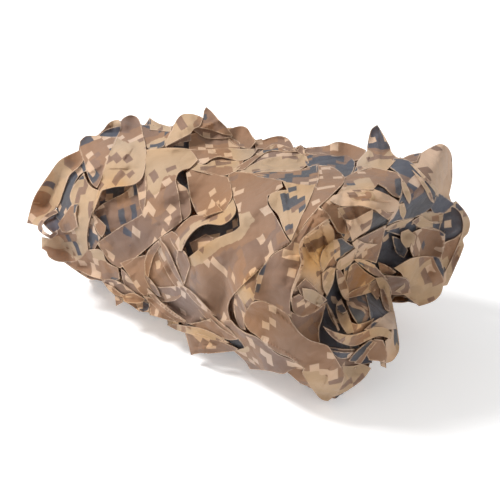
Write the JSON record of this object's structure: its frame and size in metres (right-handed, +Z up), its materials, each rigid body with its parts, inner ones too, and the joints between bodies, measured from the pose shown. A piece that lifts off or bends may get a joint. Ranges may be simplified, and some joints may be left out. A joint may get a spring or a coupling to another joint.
{
  "type": "rolled camouflage netting",
  "caption": "Leaf-cut camouflage cloth net, loosely rolled into a tapering bundle with an open wide end.",
  "frame": {"origin": "on the floor under the middle of the roll, on its flat underside", "axes": "+X along the roll towards its wide open end, +Z up, -Y the side with the most leaves"},
  "size_m": [0.4321, 0.2603, 0.2082],
  "materials": {
    "camouflage_cloth": "matte printed polyester cloth"
  },
  "bodies": {
    "root": {"net_roll": "camouflage_cloth"}
  },
  "joints": []
}
